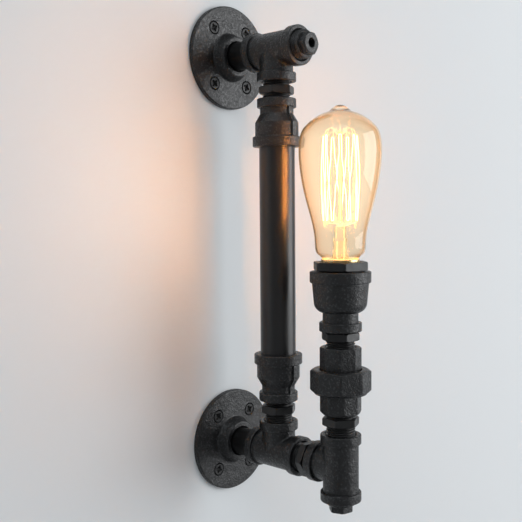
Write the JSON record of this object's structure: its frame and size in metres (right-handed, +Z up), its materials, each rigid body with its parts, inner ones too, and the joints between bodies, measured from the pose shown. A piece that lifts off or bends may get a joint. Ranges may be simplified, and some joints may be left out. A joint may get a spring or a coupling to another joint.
{
  "type": "pipe wall light",
  "caption": "Black iron pipe wall light: wall flanges carry a riser pipe and a side arm with a pipe union, a bell-shaped lampholder cup and an upright pear-shaped filament bulb.",
  "frame": {"origin": "centre of the lower flange's four wall screws, in the plane of the wall", "axes": "+Z up, +Y into the wall so that the light stands out along -Y, +X to the right as seen from in front of the wall"},
  "size_m": [0.08, 0.1693, 0.385],
  "materials": {
    "cast_iron_black": "matt black paint over sand-cast malleable iron, fine grain",
    "steel_pipe_black": "smooth satin black paint on drawn steel pipe",
    "turned_steel_black": "satin black paint over turned threads and hexagons",
    "screw_black": "black screws with a cross recess",
    "gasket_fibre": "pressed fibre",
    "porcelain": "white glazed porcelain",
    "insulating_sleeve": "dark moulded insulation",
    "brass_fittings": "plain bright brass",
    "cable_sheath": "black flexible sheath",
    "core_live": "brown insulation",
    "core_neutral": "blue insulation",
    "core_earth": "green and yellow insulation",
    "tinned_copper": "tinned ferrules",
    "bulb_glass_amber": "clear amber blown glass",
    "bulb_cap_brass": "rolled brass cap",
    "cap_glass_black": "black glass insulator",
    "solder": "solder",
    "stem_glass": "clear pressed glass",
    "support_wire": "drawn nickel wire",
    "filament": "glowing carbon filament"
  },
  "bodies": {
    "root": {"lower_wall_flange": "cast_iron_black", "upper_wall_flange": "cast_iron_black", "lower_flange_screws": "screw_black", "upper_flange_screws": "screw_black", "lower_stub_pipe": "steel_pipe_black", "upper_stub_pipe": "steel_pipe_black", "lower_tee": "cast_iron_black", "upper_tee": "cast_iron_black", "upper_tee_plug": "cast_iron_black", "lower_riser_nipple": "turned_steel_black", "upper_riser_nipple": "turned_steel_black", "lower_reducing_socket": "cast_iron_black", "upper_reducing_socket": "cast_iron_black", "riser_pipe": "steel_pipe_black", "arm_nipple": "turned_steel_black", "lamp_tee": "cast_iron_black", "lamp_tee_plug": "cast_iron_black", "union_nipple": "turned_steel_black", "union_seat_body": "cast_iron_black", "union_gasket": "gasket_fibre", "supply_cable_lower": "cable_sheath", "live_wall_tail": "core_live", "neutral_wall_tail": "core_neutral", "earth_wall_tail": "core_earth", "wall_ferrules": "tinned_copper"},
    "union_nut": {"union_nut": "cast_iron_black"},
    "head": {"union_tail_body": "cast_iron_black", "cup_nipple": "turned_steel_black", "lamp_cup": "cast_iron_black", "lampholder_bush": "turned_steel_black", "lampholder_base": "porcelain", "lampholder_sleeve": "insulating_sleeve", "lampholder_screw_shell": "brass_fittings", "lampholder_centre_contact": "brass_fittings", "lampholder_terminals": "brass_fittings", "lampholder_terminal_screws": "brass_fittings", "earth_screw": "brass_fittings", "earth_lug": "brass_fittings", "supply_cable_upper": "cable_sheath", "live_core": "core_live", "neutral_core": "core_neutral", "earth_core": "core_earth"},
    "bulb_lift": {"bulb_cap_insulator": "cap_glass_black", "bulb_cap_contact": "solder"},
    "bulb": {"bulb_cap_shell": "bulb_cap_brass", "bulb_glass": "bulb_glass_amber", "bulb_stem": "stem_glass", "bulb_lead_wires": "support_wire", "bulb_upper_supports": "support_wire", "bulb_lower_supports": "support_wire", "bulb_filament": "filament"}
  },
  "joints": [
    {"name": "union_nut_turn", "type": "hinge", "parent": "root", "child": "union_nut", "pos_m": [0, -0.114, 0.0617], "axis": [0, 0, 1], "range_deg": [0, 360]},
    {"name": "head_swivel", "type": "hinge", "parent": "root", "child": "head", "pos_m": [0, -0.114, 0.0617], "axis": [0, 0, 1], "range_deg": [-180, 180]},
    {"name": "bulb_rise", "type": "slide", "parent": "head", "child": "bulb_lift", "axis": [0, 0, 1], "range_m": [0, 0.0164]},
    {"name": "bulb_turn", "type": "hinge", "parent": "bulb_lift", "child": "bulb", "pos_m": [0, -0.114, 0.1497], "axis": [0, 0, 1], "range_deg": [0, 1620]}
  ],
  "couplings": [
    {"joint": "bulb_rise", "follows": "bulb_turn", "m_per_rad": 0.00057757}
  ]
}
